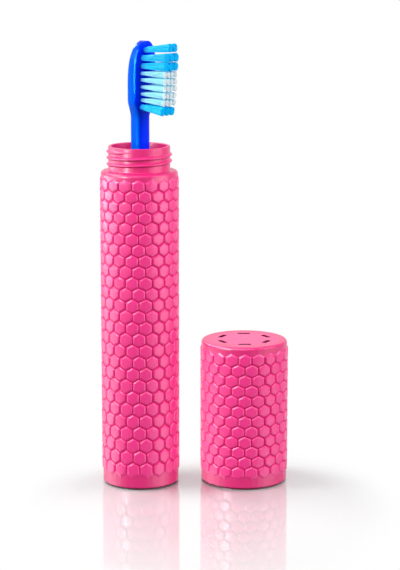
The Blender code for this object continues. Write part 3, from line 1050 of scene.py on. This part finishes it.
def buildTuft(row, column, drop, across, material, finish):
    # straight bristles on a sunflower pattern, which spread a little towards their tips
    _, radius, length, tilt, count, _ = tuftSizes["rows"][row]
    length += tuftSizes["beyond"][row]
    reachUp, reachAcross = tuftSizes["tipReach"][finish]
    rootRadius, tipRadius = tuftSizes["strandRadius"]
    chance = random.Random(100 * row + column)
    bm = bmesh.new()
    along = bm.verts.layers.float.new("alongTuft")
    tone = bm.verts.layers.float.new("strandTone")
    for number in range(count):
        share = math.sqrt((number + 0.5) / count)
        turn = number * math.radians(tuftSizes["goldenAngle"])
        outward = Vector((math.cos(turn), math.sin(turn), 0)) * share
        sway = Vector((chance.uniform(-1, 1), chance.uniform(-1, 1), 0)) * tuftSizes["sway"]
        root = outward * (radius - rootRadius)
        up, aside = outward.x * (reachUp - tipRadius), outward.y * (reachAcross - tipRadius)
        tip = Vector((up, aside, 0)) + sway
        root.z = -tuftSizes["rootDepth"]
        tip.z = length * (1 + chance.uniform(-tuftSizes["unevenness"], tuftSizes["unevenness"]))
        reach = tip - root
        turned = reach.to_track_quat("Z", "Y").to_matrix().to_4x4()
        made = bmesh.ops.create_cone(
            bm,
            cap_ends=True,
            segments=tuftSizes["strandSides"],
            radius1=rootRadius,
            radius2=tipRadius,
            depth=reach.length,
            matrix=Matrix.Translation((root + tip) / 2) @ turned,
        )["verts"]
        shade = chance.random()
        for vert in made:
            vert[along] = max(vert.co.z, 0) / length
            vert[tone] = shade
    keepCrisp(bm, tuftSizes["strandCrisp"])
    bmesh.ops.transform(bm, matrix=brushPlace() @ tuftAxis(drop, across, tilt), verts=bm.verts)
    node = f"tuft_row{row + 1}_col{column + 1}"
    name = f"bristleTuft_{row + 1}_{column + 1}"
    finishPiece(name, bm, material, "toothbrush", [node])


places = tuftPlaces()
buildBrush(places)
nylon = {finish: makeNylon(finish) for finish in bristleFinish}
for row, column, drop, across in places:
    finish = tuftSizes["rows"][row][5]
    buildTuft(row, column, drop, across, nylon[finish], finish)
print("toothbrush built:", len(places), "tufts")


# Floor, background and light

studio = {
    "fill": 0.22,
    "lamps": (
        # name, place, aimed at, width, height, watts, what it lights. Case and cap each get their
        # side light past the other one, as if they were photographed one by one
        ("leftBox", (-0.58, -0.20, 0.44), (0.0, 0.0, 0.08), 0.30, 0.5, 4.4, "case"),
        ("leftBoxOnBrush", (-0.58, -0.20, 0.44), (0.0, 0.0, 0.10), 0.30, 0.5, 4.4, "brush"),
        ("leftBoxOnCap", (-0.54, -0.20, 0.40), (0.04, 0.0, 0.05), 0.30, 0.5, 4.4, "cap"),
        ("rightBox", (0.64, -0.20, 0.42), (0.04, 0.0, 0.07), 0.50, 0.5, 4.2, "cap"),
        ("rightBoxOnCase", (0.60, -0.20, 0.42), (0.0, 0.0, 0.07), 0.50, 0.5, 4.2, "case"),
        ("rightBoxOnBrush", (0.60, -0.20, 0.42), (0.0, 0.0, 0.10), 0.50, 0.5, 4.8, "brush"),
        ("frontStrip", (-0.25, -0.70, 0.60), (0.0, 0.0, 0.08), 0.70, 0.14, 1.95, "case brush cap"),
        ("topBox", (0.0, -0.05, 0.80), (0.02, 0.0, 0.05), 0.50, 0.50, 0.6, "everything"),
        ("floorBox", (0.02, 0.08, 0.90), (0.02, 0.0, 0.0), 1.5, 0.45, 5.7, "floor"),
        ("floorLeft", (-0.50, 0.05, 0.50), (0.02, 0.0, 0.0), 0.5, 0.5, 2.2, "floor"),
        ("floorRight", (0.54, 0.05, 0.50), (0.02, 0.0, 0.0), 0.5, 0.5, 0.8, "floor"),
    ),
    "sheens": (
        # the same, for boxes that only add gloss
        ("leftSheen", (-0.60, 0.10, -0.16), (0.0, 0.0, 0.08), 0.70, 0.6, 12.5, "case"),
        ("leftSheenOnCap", (-0.56, 0.10, -0.27), (0.04, 0.0, 0.05), 0.70, 0.6, 11.5, "cap"),
        ("rightSheen", (0.60, -0.25, -0.27), (0.04, 0.0, 0.07), 0.70, 0.6, 7.5, "cap"),
        ("rightSheenOnCase", (0.56, -0.25, -0.16), (0.0, 0.0, 0.07), 0.70, 0.6, 8.2, "case"),
        ("padEdgeSheen", (-0.46, -0.46, 0.32), (0.02, 0.0, 0.06), 0.20, 0.40, 7.0, "case cap"),
        ("brushLineSheen", (-0.42, -0.40, 0.30), (0.0, 0.0, 0.15), 0.40, 0.5, 55.0, "brush"),
        ("brushTipSheen", (-0.50, 0.33, 0.62), (0.0, 0.0, 0.17), 0.16, 0.16, 7.0, "brush"),
        ("shoulderSheen", (0.0, -0.35, 0.75), (0.0, 0.0, 0.13), 0.50, 0.4, 1.6, "case"),
        ("capEdgeSheen", (-0.12, -0.35, 0.66), (0.04, 0.0, 0.06), 0.90, 0.4, 8.0, "cap"),
        ("capEdgeLeftSheen", (-0.38, 0.20, 0.50), (0.04, 0.0, 0.06), 0.50, 0.5, 7.0, "cap"),
        ("shoulderLeftSheen", (-0.40, 0.20, 0.62), (0.0, 0.0, 0.13), 0.50, 0.4, 4.6, "case"),
    ),
}
floorLook = {
    "radius": 8,
    "sides": 96,
    "drop": 0.00002,  # keeps it out of the plane that case and cap stand in
    "colour": (0.90, 0.90, 0.90, 1),
    "bounce": (0.15, 0.15, 0.15, 1),  # what it throws back up onto the object
    # the ellipse round the object in which it is a floor, and past which it turns white
    "nearShift": (-0.40, 0.45, 0.0),
    "nearScale": (14.3, 11.0, 1.0),
    "whiteFrom": (0.75, 1.15),
    "mirrorIor": 1.6,
    "mirrorRoughness": 0.025,
    "mirrorFrom": (0.35, 0.75),
    "mirrorShare": (1.55, 0.9),  # near the object and further out
}


def anyOf(tree, first, *others):
    # 1 where one of these light path tests is true
    for other in others:
        either = addNode(tree, "ShaderNodeMath", {0: first, 1: other}, operation="MAXIMUM")
        first = either.outputs[0]
    return first


def seenRays(tree):
    path = addNode(tree, "ShaderNodeLightPath").outputs
    return anyOf(tree, path["Is Camera Ray"], path["Is Glossy Ray"], path["Is Transmission Ray"])


def whiteWorld():
    # white wherever it is seen, dimmer where it lights
    world = bpy.data.worlds.new("studioWorld")
    bpy.context.scene.world = world
    world.use_nodes = True
    tree = world.node_tree
    tree.nodes.clear()
    seen = addNode(tree, "ShaderNodeBackground", {"Color": (1, 1, 1, 1), "Strength": 1.0})
    dim = {"Color": (1, 1, 1, 1), "Strength": studio["fill"]}
    fill = addNode(tree, "ShaderNodeBackground", dim)
    both = {0: seenRays(tree), 1: fill.outputs[0], 2: seen.outputs[0]}
    mix = addNode(tree, "ShaderNodeMixShader", both)
    addNode(tree, "ShaderNodeOutputWorld", {"Surface": mix.outputs[0]})


def addFloor():
    # pale and a little glossy near the object, plain white further out
    bm = bmesh.new()
    bmesh.ops.create_circle(
        bm, cap_ends=True, radius=floorLook["radius"], segments=floorLook["sides"]
    )
    mesh = bpy.data.meshes.new("studioFloor")
    bm.to_mesh(mesh)
    bm.free()
    floor = bpy.data.objects.new("studioFloor", mesh)
    floor.location.z = -floorLook["drop"]
    bpy.context.scene.collection.objects.link(floor)

    material, tree = startMaterial("studioFloor")
    mesh.materials.append(material)
    tree.nodes.clear()
    here = addNode(tree, "ShaderNodeTexCoord").outputs["Object"]
    ellipse = {"Location": floorLook["nearShift"], "Scale": floorLook["nearScale"]}
    centred = addNode(tree, "ShaderNodeMapping", {"Vector": here, **ellipse})
    length = addNode(tree, "ShaderNodeVectorMath", {0: centred.outputs[0]}, operation="LENGTH")
    away = length.outputs["Value"]
    far = mapRange(tree, away, floorLook["whiteFrom"], interpolation_type="SMOOTHSTEP")
    seen = seenRays(tree)
    pale = blendColour(tree, seen, floorLook["bounce"], floorLook["colour"])
    matt = addNode(tree, "ShaderNodeBsdfDiffuse", {"Color": pale})
    shine = {"Color": (1, 1, 1, 1), "Roughness": floorLook["mirrorRoughness"]}
    gloss = addNode(tree, "ShaderNodeBsdfGlossy", shine)
    mirror = addNode(tree, "ShaderNodeFresnel", {"IOR": floorLook["mirrorIor"]})
    polish = mapRange(tree, away, floorLook["mirrorFrom"], floorLook["mirrorShare"])
    mirrored = addNode(
        tree, "ShaderNodeMath", {0: mirror.outputs[0], 1: polish}, operation="MULTIPLY"
    )
    near = {0: mirrored.outputs[0], 1: matt.outputs[0], 2: gloss.outputs[0]}
    near = addNode(tree, "ShaderNodeMixShader", near)
    white = addNode(tree, "ShaderNodeEmission", {"Color": (1, 1, 1, 1), "Strength": 1.0})
    share = addNode(tree, "ShaderNodeMath", {0: far, 1: seen}, operation="MULTIPLY")
    whole = {0: share.outputs[0], 1: near.outputs[0], 2: white.outputs[0]}
    whole = addNode(tree, "ShaderNodeMixShader", whole)
    addNode(tree, "ShaderNodeOutputMaterial", {"Surface": whole.outputs[0]})


def addLamps():
    groups = {
        "case": standing["case"],
        "brush": standing["toothbrush"],
        "cap": standing["cap"],
        "floor": [bpy.data.objects["studioFloor"]],
    }
    for name, place, aim, width, height, watts, lit in studio["lamps"] + studio["sheens"]:
        light = bpy.data.lights.new(name, "AREA")
        light.shape = "RECTANGLE"
        light.size = width
        light.size_y = height
        light.energy = watts
        lamp = bpy.data.objects.new(name, light)
        lamp.location = place
        lamp.rotation_euler = (Vector(aim) - Vector(place)).to_track_quat("-Z", "Y").to_euler()
        bpy.context.scene.collection.objects.link(lamp)
        if "Sheen" in name:
            lamp.visible_diffuse = False
        if lit == "everything":
            continue
        receivers = bpy.data.collections.new(name + "Lights")
        for piece in (piece for group in lit.split() for piece in groups[group]):
            receivers.objects.link(piece)
        lamp.light_linking.receiver_collection = receivers
        if "floor" not in lit:
            lamp.light_linking.blocker_collection = receivers


whiteWorld()
addFloor()
addLamps()
bpy.context.scene.view_settings.view_transform = "Standard"
print("studio lit")
